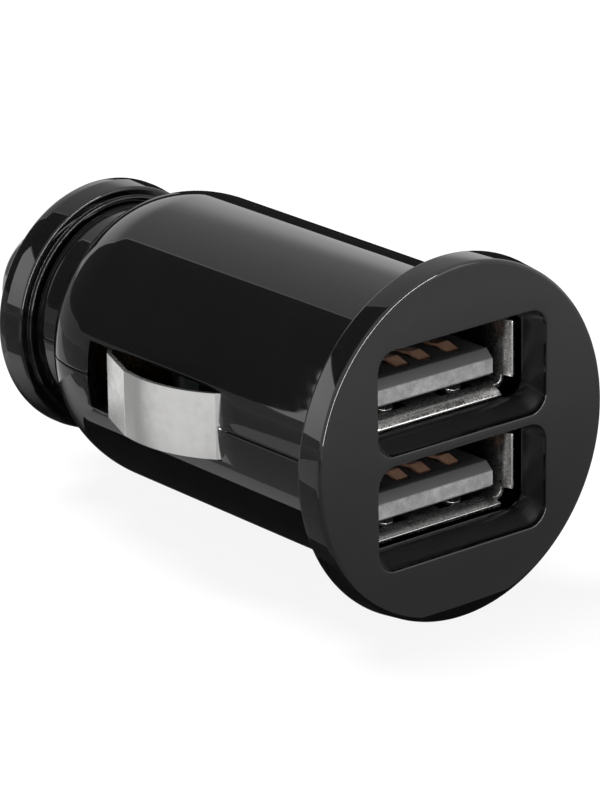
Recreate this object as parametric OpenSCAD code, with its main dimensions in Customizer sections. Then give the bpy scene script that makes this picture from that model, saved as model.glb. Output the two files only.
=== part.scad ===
// Compact car charger with two stacked USB-A ports, pushed into a car's lighter socket.
// Millimetres. The origin is on the axis where the barrel meets the flange's rear face.
// +Y runs to the nose, +Z from the lower port to the upper one, +X across the ports.

/* [Barrel] */
// Diameter that enters the socket
barrel_d = 20.9; // [20.9:0.1:21.6]
// Wall of the two half shells
barrel_wall = 0.85; // [0.7:0.05:0.85]
// Length of the true cylinder behind the flange
locating_len = 9; // [6:0.5:10]
// Radius lost to mould draft at the shoulder
barrel_draft = 0.05; // [0.02:0.01:0.15]
// Distance from the seat to the start of the shoulder
shoulder_y = 26.5; // [26:0.1:28]
// Length of the rounded shoulder
shoulder_len = 5; // [4.5:0.1:6]
// Diameter of the neck behind the nose ring
neck_d = 16; // [15.8:0.1:16.6]
// Visible length of the neck
neck_len = 2.95; // [2.6:0.05:3.4]
// Gap between the two half shells at the seam
seam_gap = 0.1; // [0.04:0.02:0.16]

/* [Flange] */
// Largest diameter of the flange
flange_d = 25.3; // [24.6:0.1:27]
// Thickness of the flange
flange_t = 2.15; // [2.1:0.05:2.6]
// How much smaller the rim's radius is at the face
rim_draft = 0.17; // [0.05:0.01:0.3]
// Round between the face and the rim
face_round = 0.38; // [0.2:0.02:0.5]
// Round between the rim and the seat
rear_round = 0.3; // [0.1:0.02:0.5]
// Length of the collar that the half shells slip over
collar_len = 3; // [2.8:0.1:3.6]
// Wall of the collar
collar_wall = 0.9; // [0.7:0.05:1]
// Height of the two snap lugs on the collar
lug_h = 0.35; // [0.2:0.05:0.4]
// Width of the snap lugs
lug_w = 4; // [3:0.2:4.4]
// Depth of the groove that takes the ends of the half shells
rebate_d = 0.3; // [0.1:0.05:0.4]

/* [Ports] */
// Distance between the two ports
port_pitch = 8.07; // [8.05:0.01:8.1]
// Height of the pair above the axis
port_lift = 0.13; // [0.05:0.01:0.15]
// Width of a recess at the face
recess_w = 14.77; // [14.6:0.01:15.2]
// Height of a recess at the face
recess_h = 7.36; // [7.2:0.01:7.5]
// Corner radius of a recess at the face
recess_r = 1.4; // [1:0.05:1.8]
// Depth of the recess's tapered walls
taper_depth = 1.7; // [1.4:0.05:1.9]
// Inward taper of the end walls and the upper wall
side_taper = 0.36; // [0.2:0.02:0.4]
// Inward taper of the lower wall
floor_taper = 0.88; // [0.7:0.02:0.9]

/* [USB receptacles] */
// Width of the opening inside the shell
usb_w = 12.5; // [12.4:0.05:12.5]
// Height of the opening inside the shell
usb_h = 5.12; // [5.05:0.01:5.12]
// Sheet thickness of the shell
sheet_t = 0.3; // [0.25:0.01:0.3]
// Outside corner radius of the shell
usb_corner_r = 0.7; // [0.65:0.05:1]
// Height of the shell's centre above the recess's centre
usb_lift = 0.28; // [0.2:0.01:0.3]
// Depth of the lips behind the face
lip_depth = 2.55; // [2.45:0.05:2.7]
// Length of the flared lips
lip_len = 0.8; // [0.6:0.05:1]
// How far each lip flares outward
lip_flare = 0.25; // [0.15:0.01:0.28]
// Length of the shell from lips to board
usb_len = 14; // [13.6:0.1:14.6]
// Gap between each side of the tongue and the shell
tongue_side = 0.7; // [0.6:0.02:0.9]
// Thickness of the tongue
tongue_t = 1.84; // [1.7:0.02:1.9]
// Gap between the tongue and the shell's lower wall
tongue_gap = 0.66; // [0.6:0.02:0.72]
// Distance from the lips to the tongue's front
tongue_set = 0.8; // [0.7:0.05:1]
// Height of the chamfer on the tongue's upper front edge
tongue_chamfer = 0.4; // [0.2:0.05:0.5]
// Width of a contact
contact_w = 1; // [0.9:0.05:1]
// Thickness of a contact
contact_t = 0.2; // [0.15:0.01:0.22]
// Spacing of the two middle contacts
inner_pitch = 2; // [1.9:0.05:2.1]
// Spacing from a middle contact to its outer neighbour
outer_pitch = 2.5; // [2.4:0.05:2.6]
// Spacing of the two retaining fingers in a shell wall
finger_pitch = 6; // [5.8:0.1:6.4]
// Width of a retaining finger
finger_w = 2.2; // [1.8:0.1:2.4]

/* [Ground springs] */
// Height of the slot in the barrel's side
slot_h = 4.9; // [4.8:0.05:5]
// Distance from the seat to the slot's front end
slot_y = 10.75; // [10.5:0.05:11]
// Length of the slot
slot_len = 14.65; // [14.5:0.05:15]
// Width of the spring strip
leaf_w = 4.7; // [4.4:0.05:4.72]
// Thickness of the spring strip
leaf_t = 0.3; // [0.25:0.01:0.32]
// Distance from the axis to the top of the arch
leaf_reach = 12.3; // [12:0.05:12.4]
// Radius of the arch
leaf_arch_r = 9.4; // [9.2:0.05:10]
// Distance from the slot's front end to the top of the arch
leaf_apex = 6.15; // [6:0.05:6.3]
// Distance from the top of the arch to the crease
leaf_crease = 3.5; // [3.2:0.1:3.8]
// Length of the straight tail behind the crease, along the barrel
leaf_tail = 3.3; // [3:0.1:3.5]
// Distance from the barrel's bore to the middle of the foot
foot_inset = 0.7; // [0.66:0.02:0.75]

/* [Nose] */
// Largest diameter of the screw-on ring
ring_d = 18.4; // [18:0.1:19]
// Length of the ring
ring_len = 2.9; // [2.8:0.05:3.4]
// Gap between the neck and the ring
ring_gap = 0.55; // [0.4:0.05:0.7]
// How much smaller the ring's radius is at its rear
ring_draft = 0.2; // [0.1:0.02:0.3]
// Front round of the ring
ring_round = 0.6; // [0.4:0.05:0.7]
// Depth of the step in the ring's rear face
ring_step = 0.3; // [0.2:0.05:0.4]
// Wall of the spigot inside the ring
spigot_wall = 0.8; // [0.7:0.05:0.9]
// Diameter of the tip contact
tip_d = 8.9; // [8.4:0.1:9]
// How far the tip contact stands out of the ring
tip_out = 7; // [6.5:0.1:7.5]
// Length of the rounded end of the tip contact
tip_dome = 2.3; // [2:0.1:3]
// Wall of the tip contact
tip_wall = 0.75; // [0.6:0.05:0.8]
// Travel of the tip contact
tip_travel = 2; // [1.5:0.1:2.4]
// Wire of the tip spring
wire_d = 0.5; // [0.4:0.02:0.6]
// Working turns of the tip spring
coil_turns = 5; // [3:1:7]

/* [Boards] */
// Thickness of the port board
port_board_t = 1.2; // [1:0.1:1.3]
// Thickness of the main board
main_board_t = 1; // [0.8:0.1:1]
// Length of the main board
main_board_len = 13; // [12.6:0.1:13.2]
// Half the width of the main board
main_board_half = 5.9; // [5.7:0.05:5.9]
// Depth of the main board's upper face below the axis
main_board_drop = 4.6; // [4.55:0.05:4.7]
// Diameter of the inductor
inductor_d = 5.8; // [5.2:0.1:5.9]
// Height of the inductor
inductor_h = 4; // [3.4:0.1:4]
// Diameter of the input capacitor
input_cap_d = 6.3; // [6:0.1:6.3]
// Length of the input capacitor
input_cap_len = 7.4; // [7:0.1:7.6]
// Diameter of the output capacitor
output_cap_d = 4.2; // [4:0.05:4.2]
// Height of the output capacitor
output_cap_h = 5.5; // [5:0.1:5.6]

/* [Fits] */
// Clearance between pieces that slip together
slip = 0.1; // [0.06:0.02:0.12]
// Clearance between the collar and the half shells
collar_fit = 0.1; // [0.06:0.02:0.14]
// Gap at a stop that a moving piece comes to rest on
stop_gap = 0.05; // [0.04:0.01:0.08]

/* [Hidden] */
$fn = 96;
eps = 0.02;

barrel_r = barrel_d / 2;
bore_r = barrel_r - barrel_wall;
rebate_r = barrel_r - barrel_wall / 3;
neck_r = neck_d / 2;
neck_y = shoulder_y + shoulder_len;
neck_end_y = neck_y + neck_len;
ring_y = neck_end_y + ring_gap;
ring_end_y = ring_y + ring_len;
ring_r = ring_d / 2;
ring_wall_y = ring_end_y - 1.2;
spigot_r = neck_r - 0.6;
spigot_end_y = ring_wall_y - slip;
spigot_bore_r = spigot_r - spigot_wall;
bead_y = ring_wall_y - 0.7;
bead_h = 0.2;

tip_r = tip_d / 2;
tip_end_y = ring_end_y + tip_out;
tip_flange_r = spigot_bore_r - 0.3;
tip_flange_t = 1.15;
tip_flange_y = ring_wall_y - stop_gap - tip_flange_t;
terminal_t = 0.4;
terminal_y = tip_flange_y - tip_travel - 1.1 - terminal_t;
partition_t = 0.8;
partition_y = terminal_y - partition_t;
cavity_end_y = shoulder_y + 1.5;
lug_hole_r = 2.2;
spring_r = tip_r - tip_wall - wire_d / 2 - 0.35;
spring_y = terminal_y + terminal_t;
spring_end_y = tip_end_y - tip_wall - 0.55;

lip_y = lip_depth - flange_t;
shell_y = lip_y + lip_len;
board_y = lip_y + usb_len;
board_rear_y = board_y + port_board_t;
side_lip = usb_h - 1.6 * usb_corner_r;
tongue_w = usb_w - 2 * tongue_side;
tongue_y = lip_y + tongue_set;
tongue_top = -usb_h / 2 + tongue_gap + tongue_t;
groove_d = 0.25;
groove_z = tongue_top - groove_d;
block_y = board_y - 4.2;
contact_front_y = tongue_y + 1.8;
tail_out = 0.6;
contact_x = [-inner_pitch / 2 - outer_pitch, -inner_pitch / 2,
             inner_pitch / 2, inner_pitch / 2 + outer_pitch];
peg_w = 1.6;
finger_y = lip_y + 2;
finger_end_y = lip_y + 7.8;
finger_bulge = 0.25;

collar_r = bore_r - collar_fit;
lug_y = 1.2;
lug_len = 1;

foot_s = bore_r - foot_inset;
hinge_y = slot_y - 1.95;
foot_y = slot_y - 2.45;
riser_y = slot_y + 0.35;
arch_y = slot_y + leaf_apex;
arch_s = leaf_reach - leaf_arch_r;
arch_mid_r = leaf_arch_r - leaf_t / 2;
arch_from = -asin((leaf_apex - 1.15) / arch_mid_r);
arch_to = asin(leaf_crease / arch_mid_r);
crease_y = arch_y + leaf_crease;
crease_s = arch_s + arch_mid_r * cos(arch_to);
tail_y = crease_y + leaf_tail;
tail_s = crease_s - leaf_tail * tan(arch_to) - 0.04;
pocket_y = foot_y - 0.4;
pocket_rib = 0.8;
strap_s = foot_s - leaf_t / 2 - 0.25;
strap_in_s = usb_w / 2 + sheet_t + 0.85;
strap_w = 2.4;
strap_t = 0.3;

main_board_z = -main_board_drop;
main_board_low_z = main_board_z - main_board_t;
board_disc_r = bore_r - 0.15;
header_half = 3.9;
header_deep = 1.6;
pin_pitch = 2;
pin_d = 0.6;
lead_d = 0.5;
lead_x = 1.25;
lead_y = board_rear_y + 1.9;
input_cap_y = lead_y + 0.4;
input_cap_z = 4.6;
part_gap = 0.2;
inductor_x = main_board_half - part_gap - inductor_d / 2;
inductor_y = lead_y + lead_d / 2 + 0.45 + inductor_d / 2;
lug_y0 = board_rear_y + main_board_len - 1;
lug_z = -1.2;
lug_out_w = 1.8;
output_cap_x = output_cap_d / 2 + part_gap - main_board_half;
caps_apart = (inductor_d + output_cap_d) / 2 + part_gap;
output_cap_y = inductor_y + sqrt(max(0, pow(caps_apart, 2) - pow(inductor_x - output_cap_x, 2)));
fuse_y = output_cap_y + output_cap_d / 2 + part_gap + 1.25;

function port_z(side) = port_lift + side * port_pitch / 2;
function usb_z(side) = port_z(side) + usb_lift;

function unit(v) = v / norm(v);
function edge_normal(p, i) = let (d = unit(p[i + 1] - p[i])) [-d[1], d[0]];
function miter(p, i) =
    i == 0 ? edge_normal(p, 0) :
    i == len(p) - 1 ? edge_normal(p, i - 1) :
    let (n = edge_normal(p, i - 1) + edge_normal(p, i)) 2 * n / (n * n);
function strip(p, t) = concat(
    [for (i = [0:len(p) - 1]) p[i] + miter(p, i) * t / 2],
    [for (i = [len(p) - 1:-1:0]) p[i] - miter(p, i) * t / 2]);

// Points [r, y] of a quarter round between two directions
function round_at(r, y, rad, from, to, steps = 6) =
    [for (i = [0:steps]) let (a = from + (to - from) * i / steps)
        [r + rad * cos(a), y + rad * sin(a)]];

module revolve(points) {
    rotate([-90, 0, 0]) rotate_extrude() polygon(points);
}

module along_y(from, to) {
    translate([0, to, 0]) rotate([90, 0, 0]) linear_extrude(to - from) children();
}

module across_x(w) {
    translate([-w / 2, 0, 0]) rotate([90, 0, 90]) linear_extrude(w) children();
}

module rod(r, from, to) {
    along_y(from, to) circle(r);
}

module rounded(w, h, r) {
    square([w - 2 * r, h], center = true);
    square([w, h - 2 * r], center = true);
    for (x = [-1, 1], z = [-1, 1])
        translate([x * (w / 2 - r), z * (h / 2 - r)]) circle(r, $fn = 24);
}

module box(x, y, z) {
    translate([x[0], y[0], z[0]]) cube([x[1] - x[0], y[1] - y[0], z[1] - z[0]]);
}

// The flange, its collar with two snap lugs, and the two tapered port recesses
module bezel() {
    face_r = flange_d / 2 - rim_draft - face_round;
    color("#141416") difference() {
        union() {
            revolve(concat(
                [[0, -flange_t]],
                round_at(face_r, face_round - flange_t, face_round, -90, 0),
                round_at(flange_d / 2 - rear_round, -rear_round, rear_round, 0, 90),
                [[barrel_r + slip / 2, 0], [barrel_r + slip / 2, -rebate_d], [collar_r, -rebate_d],
                 [collar_r, collar_len], [collar_r - collar_wall, collar_len],
                 [collar_r - collar_wall, 0], [0, 0]]));
            intersection() {
                revolve([[collar_r - eps, lug_y], [collar_r + lug_h, lug_y + lug_len * 0.6],
                         [collar_r + lug_h, lug_y + lug_len], [collar_r - eps, lug_y + lug_len]]);
                box([-lug_w / 2, lug_w / 2], [0, collar_len], [-barrel_r, barrel_r]);
            }
        }
        for (side = [-1, 1]) {
            recess(side);
            collar_window(side);
        }
    }
}

module recess(side) {
    deep_w = recess_w - 2 * side_taper;
    deep_h = recess_h - side_taper - floor_taper;
    shift = (floor_taper - side_taper) / 2;
    low = shift * deep_h / (recess_h - deep_h);
    translate([0, 0, port_z(side)]) {
        translate([0, -flange_t, low + shift]) rotate([-90, 0, 0])
            linear_extrude(taper_depth, scale = [deep_w / recess_w, deep_h / recess_h], slices = 1, $fn = 24)
                translate([0, low + shift]) rounded(recess_w, recess_h, recess_r);
        along_y(-flange_t - 1, -flange_t + eps) rounded(recess_w, recess_h, recess_r);
        along_y(taper_depth - flange_t - eps, eps)
            translate([0, shift]) rounded(deep_w, deep_h, recess_r * deep_w / recess_w * 0.8);
    }
}

module collar_window(side) {
    half_w = usb_w / 2 + sheet_t + lip_flare + slip;
    half_h = usb_h / 2 + sheet_t + lip_flare + slip;
    box([-half_w, half_w], [0, collar_len + 1], [usb_z(side) - half_h, usb_z(side) + half_h]);
}

function barrel_profile() = concat(
    [[bore_r, -rebate_d], [rebate_r, -rebate_d], [rebate_r, 0],
     [barrel_r, 0], [barrel_r, locating_len]],
    [for (i = [0:12]) let (a = 90 * i / 12)
        [neck_r + (barrel_r - barrel_draft - neck_r) * cos(a), shoulder_y + shoulder_len * sin(a)]],
    [[neck_r, neck_end_y], [spigot_r, neck_end_y], [spigot_r, bead_y],
     [spigot_r + bead_h, bead_y + 0.15], [spigot_r + bead_h, bead_y + 0.35],
     [spigot_r, bead_y + 0.5], [spigot_r, spigot_end_y], [spigot_bore_r, spigot_end_y],
     [spigot_bore_r, terminal_y], [lug_hole_r, terminal_y], [lug_hole_r, partition_y],
     [spigot_bore_r, partition_y], [bore_r, cavity_end_y]]);

// One moulded half, side 1 above the seam and -1 below it
module half_shell(side) {
    low = side > 0 ? seam_gap / 2 : -barrel_r - 1;
    high = side > 0 ? barrel_r + 1 : -seam_gap / 2;
    difference() {
        intersection() {
            revolve(barrel_profile());
            box([-barrel_r - 1, barrel_r + 1], [-1, spigot_end_y + 1], [low, high]);
        }
        box([-barrel_r - 1, barrel_r + 1], [slot_y, slot_y + slot_len], [-slot_h / 2, slot_h / 2]);
        intersection() {
            revolve([[bore_r - eps, lug_y - 0.2], [bore_r + lug_h, lug_y - 0.2],
                     [bore_r + lug_h, lug_y + lug_len + 0.2], [bore_r - eps, lug_y + lug_len + 0.2]]);
            box([-lug_w / 2 - 0.3, lug_w / 2 + 0.3], [0, collar_len], [low, high]);
        }
        shell_relief(side);
    }
    intersection() {
        rod(bore_r + 0.2, 0, neck_y);
        box([-barrel_r, barrel_r], [0, neck_y], [low, high]);
        shell_ribs(side);
    }
}

module shell_ribs(side) {
    flank = leaf_w / 2 + 0.15;
    reach = bore_r - 1.4;
    for (x = [-1, 1]) {
        translate([x > 0 ? reach : -bore_r - 1, 0, 0]) {
            translate([0, pocket_y - pocket_rib, -flank - pocket_rib])
                cube([2.4, pocket_rib, 2 * (flank + pocket_rib)]);
            for (z = [flank, -flank - pocket_rib])
                translate([0, pocket_y - pocket_rib, z]) cube([2.4, slot_y - pocket_y, pocket_rib]);
        }
    }
    intersection() {
        revolve([[board_disc_r - 0.6, board_rear_y], [bore_r + 1, board_rear_y],
                 [bore_r + 1, board_rear_y + 0.7], [board_disc_r - 0.6, board_rear_y + 0.7]]);
        box([-4, 4], [0, neck_y], [-barrel_r, barrel_r]);
    }
    if (side < 0)
        for (x = [-1, 1])
            translate([x * (main_board_half + 0.9), board_rear_y + main_board_len / 2 + 1,
                       main_board_low_z - 0.7])
                cube([3.2, 8, 1.4], center = true);
}

// Room in the half shells for a receptacle and its flared lips
module shell_relief(side) {
    tube_w = usb_w + 2 * sheet_t;
    tube_h = usb_h + 2 * sheet_t;
    translate([0, 0, usb_z(side)]) {
        along_y(-1, board_y) rounded(tube_w + slip, tube_h + slip, usb_corner_r + slip / 2);
        along_y(-1, shell_y + 0.3) {
            square([usb_w - 2 * usb_corner_r + slip, tube_h + 2 * lip_flare + slip], center = true);
            square([tube_w + 2 * lip_flare + slip, side_lip + slip], center = true);
        }
    }
}

module upper_shell() {
    color("#161618") half_shell(1);
}

module lower_shell() {
    color("#1b1b1e") half_shell(-1);
}

// Snaps over the spigot, holds the halves together and keeps the tip contact in
module nose_ring() {
    hole_r = tip_r + slip;
    in_r = spigot_r + slip;
    color("#101012") revolve(concat(
        [[in_r, ring_y + ring_step], [in_r + 0.85, ring_y + ring_step], [in_r + 0.85, ring_y]],
        round_at(ring_r - ring_draft - 0.25, ring_y + 0.25, 0.25, -90, 0),
        round_at(ring_r - ring_round, ring_end_y - ring_round, ring_round, 0, 90),
        [[hole_r + 0.4, ring_end_y], [hole_r, ring_end_y - 0.4], [hole_r, ring_wall_y],
         [in_r, ring_wall_y], [in_r, bead_y + 0.55], [in_r + bead_h, bead_y + 0.4],
         [in_r + bead_h, bead_y + 0.1], [in_r, bead_y - 0.05]]));
}

// Hollow plunger with a flange that stops behind the ring
module tip_contact() {
    cup_r = tip_r - tip_wall;
    straight_y = tip_end_y - tip_dome;
    color("#c9ccd0") revolve(concat(
        [[cup_r, tip_flange_y], [tip_flange_r, tip_flange_y],
         [tip_flange_r, tip_flange_y + tip_flange_t], [tip_r, tip_flange_y + tip_flange_t]],
        [for (i = [0:10]) let (a = 90 * i / 10) [tip_r * cos(a), straight_y + tip_dome * sin(a)]],
        [[0, spring_end_y], [spring_r + wire_d, spring_end_y], [cup_r, spring_end_y - 1.2]]));
}

// Ring i of the wire, with closed end turns
function coil_y(t) =
    let (total = coil_turns + 2, free = spring_end_y - spring_y - wire_d - 2 * wire_d)
    spring_y + wire_d / 2 +
    (t < 1 ? t * wire_d :
     t > total - 1 ? wire_d + free + (t - total + 1) * wire_d :
     wire_d + free * (t - 1) / coil_turns);

module tip_spring() {
    total = coil_turns + 2;
    per_turn = 20;
    sides = 8;
    count = total * per_turn;
    points = [for (i = [0:count], j = [0:sides - 1])
        let (t = i / per_turn, a = 360 * t, b = 360 * j / sides,
             r = spring_r + wire_d / 2 * cos(b))
        [r * cos(a), coil_y(t) + wire_d / 2 * sin(b), r * sin(a)]];
    walls = [for (i = [0:count - 1], j = [0:sides - 1], k = [0, 1])
        let (p = i * sides + j, q = i * sides + (j + 1) % sides)
        k == 0 ? [p, p + sides, q + sides] : [p, q + sides, q]];
    ends = [[for (j = [0:sides - 1]) j], [for (j = [sides - 1:-1:0]) count * sides + j]];
    color("#a8abb0") polyhedron(points, concat(walls, ends), convexity = 12);
}

// Spring seat with a lug bent down through the partition to the main board
module tip_terminal() {
    lug = [[terminal_y + terminal_t / 2, lug_z], [lug_y0 + 0.6, lug_z],
           [lug_y0, lug_z - 0.6], [lug_y0, main_board_low_z - 0.4]];
    color("#b9a36a") {
        rod(spring_r + wire_d + 1.6, terminal_y, terminal_y + terminal_t);
        across_x(lug_out_w) polygon(strip(lug, terminal_t));
    }
}

// Centre line of the right-hand leaf as [x, y], from its foot to its tail
function leaf_path() = concat(
    [[foot_s, foot_y], [foot_s, riser_y - 0.3], [foot_s + 0.3, riser_y],
     [barrel_r - 0.5, riser_y + 0.02], [barrel_r - 0.17, riser_y + 0.25]],
    [for (i = [0:14]) let (a = arch_from + (arch_to - arch_from) * i / 14)
        [arch_s + arch_mid_r * cos(a), arch_y + arch_mid_r * sin(a)]],
    [[tail_s, tail_y], [tail_s - 0.47, tail_y + 0.8], [tail_s - 1.27, tail_y + 1.1]]);

module ground_spring() {
    color("#cfd0d2") translate([0, 0, -leaf_w / 2]) linear_extrude(leaf_w)
        polygon(strip(leaf_path(), leaf_t));
}

module ground_spring_right() {
    ground_spring();
}

module ground_spring_left() {
    mirror([1, 0, 0]) ground_spring();
}

// Leads the foot's ground contact back to the port board
module ground_strap() {
    path = [[strap_s, pocket_y + 0.1], [strap_s, hinge_y + 0.1], [strap_in_s, hinge_y + 2.2],
            [strap_in_s, board_rear_y + 0.3]];
    color("#b9a36a") translate([0, 0, -strap_w / 2]) linear_extrude(strap_w)
        polygon(strip(path, strap_t));
}

module ground_strap_right() {
    ground_strap();
}

module ground_strap_left() {
    mirror([1, 0, 0]) ground_strap();
}

// Folded sheet shell: a rounded tube, four flared lips, two board pegs and four retaining fingers
module usb_shell(side) {
    half_w = usb_w / 2;
    half_h = usb_h / 2;
    mid = sheet_t / 2;
    lip = [[lip_y, lip_flare], [shell_y, 0], [shell_y + 0.3, 0]];
    color("#b6b8ba") translate([0, 0, usb_z(side)]) {
        difference() {
            along_y(shell_y, board_y) difference() {
                rounded(usb_w + 2 * sheet_t, usb_h + 2 * sheet_t, usb_corner_r);
                rounded(usb_w, usb_h, usb_corner_r - sheet_t);
            }
            for (x = [-1, 1])
                translate([x * finger_pitch / 2, (finger_y + finger_end_y) / 2, 0])
                    cube([finger_w + 0.5, finger_end_y - finger_y, usb_h + 2], center = true);
        }
        for (z = [0, 1]) mirror([0, 0, z]) {
            across_x(usb_w - 2 * usb_corner_r)
                polygon(strip([for (p = lip) [p[0], half_h + mid + p[1]]], sheet_t));
            for (x = [-1, 1]) translate([x * finger_pitch / 2, 0, 0]) across_x(finger_w)
                polygon(strip([[finger_end_y + eps, half_h + mid], [finger_end_y - 1, half_h + mid],
                               [finger_y + 1.1, half_h + mid - finger_bulge],
                               [finger_y + 0.1, half_h + mid]], sheet_t));
        }
        for (x = [0, 1]) mirror([x, 0, 0]) {
            translate([0, 0, -side_lip / 2]) linear_extrude(side_lip)
                polygon(strip([for (p = lip) [half_w + mid + p[1], p[0]]], sheet_t));
            box([half_w, half_w + sheet_t], [board_y - eps, board_rear_y + 0.4],
                [-peg_w / 2, peg_w / 2]);
        }
    }
}

module usb_shell_upper() {
    usb_shell(1);
}

module usb_shell_lower() {
    usb_shell(-1);
}

// Moulded insulator: the rear block and the tongue with four contact grooves
module usb_housing(side) {
    low = tongue_top - tongue_t;
    color("#2a2b2d") translate([0, 0, usb_z(side)]) difference() {
        union() {
            across_x(tongue_w)
                polygon([[tongue_y, low + 0.25], [tongue_y + 0.3, low], [block_y + eps, low],
                         [block_y + eps, tongue_top], [tongue_y + tongue_chamfer + 0.05, tongue_top],
                         [tongue_y, tongue_top - tongue_chamfer]]);
            along_y(block_y, board_y) rounded(usb_w - 2 * slip, usb_h - 2 * slip, usb_corner_r - sheet_t);
        }
        for (x = contact_x) {
            box([x - contact_w / 2 - slip, x + contact_w / 2 + slip],
                [contact_front_y - 0.3, board_y + 1], [groove_z, tongue_top + 1e-3]);
            box([x - contact_w / 2 - slip, x + contact_w / 2 + slip],
                [block_y - 1, board_y + 1], [groove_z, groove_z + 0.7]);
        }
    }
}

module usb_housing_upper() {
    usb_housing(1);
}

module usb_housing_lower() {
    usb_housing(-1);
}

// Contact i, counted from -X: a flat tail and a raised spring beam that dips at its front
module usb_contact(side, i) {
    flat = groove_z + contact_t / 2;
    path = [[board_rear_y + tail_out, flat], [contact_front_y + 3.2, flat],
            [contact_front_y + 1, flat + 0.35], [contact_front_y, flat + 0.05]];
    color("#b87a52") translate([contact_x[i], 0, usb_z(side)]) across_x(contact_w)
        polygon(strip(path, contact_t));
}

module contact_upper_power() {
    usb_contact(1, 0);
}

module contact_upper_minus() {
    usb_contact(1, 1);
}

module contact_upper_plus() {
    usb_contact(1, 2);
}

module contact_upper_ground() {
    usb_contact(1, 3);
}

module contact_lower_power() {
    usb_contact(-1, 0);
}

module contact_lower_minus() {
    usb_contact(-1, 1);
}

module contact_lower_plus() {
    usb_contact(-1, 2);
}

module contact_lower_ground() {
    usb_contact(-1, 3);
}

// Round board across the barrel that both receptacles are soldered to
module port_board() {
    color("#1f5a3a") difference() {
        rod(board_disc_r, board_y, board_rear_y);
        for (side = [-1, 1]) translate([0, 0, usb_z(side)]) {
            for (x = contact_x)
                box([x - contact_w / 2 - slip, x + contact_w / 2 + slip],
                    [board_y - 1, board_rear_y + 1], [groove_z - slip, groove_z + contact_t + slip]);
            for (x = [-1, 1])
                translate([x * (usb_w + sheet_t) / 2, board_y, 0])
                    cube([sheet_t + 2 * slip, 4, peg_w + 2 * slip], center = true);
        }
        for (x = [-1, 1])
            translate([x * strap_in_s, board_y, 0])
                cube([strap_t + 2 * slip, 4, strap_w + 2 * slip], center = true);
        for (i = [0:3])
            translate([(i - 1.5) * pin_pitch, 0, main_board_low_z - header_deep / 2])
                rod(pin_d / 2 + slip, board_y - 1, board_rear_y + 1);
    }
}

// Board along the barrel that carries the converter
module main_board() {
    color("#1d6a40") difference() {
        box([-main_board_half, main_board_half],
            [board_rear_y, board_rear_y + main_board_len], [main_board_low_z, main_board_z]);
        for (x = contact_x)
            box([x - contact_w / 2 - slip, x + contact_w / 2 + slip],
                [board_rear_y - 1, board_rear_y + tail_out + slip],
                [usb_z(-1) + groove_z - slip, usb_z(-1) + groove_z + contact_t + slip]);
        translate([0, lug_y0, main_board_z])
            cube([lug_out_w + 2 * slip, terminal_t + 2 * slip, 4], center = true);
        for (x = [-1, 1])
            translate([x * lead_x, lead_y, main_board_low_z - 1])
                cylinder(r = lead_d / 2 + slip, h = main_board_t + 2);
        for (i = [0:3])
            translate([(i - 1.5) * pin_pitch, board_rear_y + header_deep / 2, main_board_low_z - 1])
                cylinder(r = pin_d / 2 + slip, h = main_board_t + 2);
    }
}

// Angled pin header that joins the two boards
module board_header() {
    color("#26272a") {
        box([-header_half, header_half], [board_rear_y, board_rear_y + header_deep],
            [main_board_low_z - header_deep, main_board_low_z]);
        for (i = [0:3]) translate([(i - 1.5) * pin_pitch, 0, main_board_low_z - header_deep / 2]) {
            rod(pin_d / 2, board_y, board_rear_y + 0.3);
            translate([0, board_rear_y + header_deep / 2, 0])
                cylinder(r = pin_d / 2, h = header_deep / 2 + main_board_t + 0.4);
        }
    }
}

module inductor_core() {
    r = inductor_d / 2;
    color("#3b3b40") translate([inductor_x, inductor_y, main_board_z]) rotate_extrude()
        polygon([[0, 0], [r, 0], [r, 0.7], [r / 2, 0.7], [r / 2, inductor_h - 0.7],
                 [r, inductor_h - 0.7], [r, inductor_h], [0, inductor_h]]);
}

module inductor_coil() {
    r = inductor_d / 2;
    color("#b5652c") translate([inductor_x, inductor_y, main_board_z]) rotate_extrude()
        polygon([[r / 2, 0.7], [r - 0.25, 0.7], [r - 0.25, inductor_h - 0.7],
                 [r / 2, inductor_h - 0.7]]);
}

// Lies along the upper half and stands on its two leads
module input_capacitor() {
    r = input_cap_d / 2;
    end_y = input_cap_y + input_cap_len;
    color("#2d3350") {
        translate([0, 0, input_cap_z]) revolve([[0, input_cap_y], [r - 0.3, input_cap_y],
            [r, input_cap_y + 0.3], [r, input_cap_y + 1], [r - 0.3, input_cap_y + 1.3],
            [r, input_cap_y + 1.6], [r, end_y - 0.3], [r - 0.3, end_y], [0, end_y]]);
        for (x = [-lead_x, lead_x]) {
            translate([x, 0, input_cap_z]) rod(lead_d / 2, lead_y - lead_d / 2, input_cap_y + 0.2);
            translate([x, lead_y, main_board_low_z - 0.4])
                cylinder(r = lead_d / 2, h = input_cap_z - main_board_low_z + 0.4);
        }
    }
}

module output_capacitor() {
    r = output_cap_d / 2;
    color("#2d3350") translate([output_cap_x, output_cap_y, main_board_z]) rotate_extrude()
        polygon([[0, 0], [r - 0.2, 0], [r, 0.2], [r, 0.9], [r - 0.2, 1.1], [r, 1.3],
                 [r, output_cap_h - 0.2], [r - 0.2, output_cap_h], [0, output_cap_h]]);
}

// Flat-leaded package: a chamfered body with its leads on two sides
module chip(body, height, leads, pitch) {
    box([-body[0] / 2, body[0] / 2], [-body[1] / 2, body[1] / 2], [0.1, height]);
    for (i = [0:leads - 1]) translate([(i - (leads - 1) / 2) * pitch, 0, 0])
        across_x(0.4) polygon([[-body[1] / 2 - 0.9, 0], [body[1] / 2 + 0.9, 0],
            [body[1] / 2 + 0.9, 0.2], [body[1] / 2 + 0.3, 0.2], [body[1] / 2 + 0.1, height / 2],
            [-body[1] / 2 - 0.1, height / 2], [-body[1] / 2 - 0.3, 0.2],
            [-body[1] / 2 - 0.9, 0.2]]);
}

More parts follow.
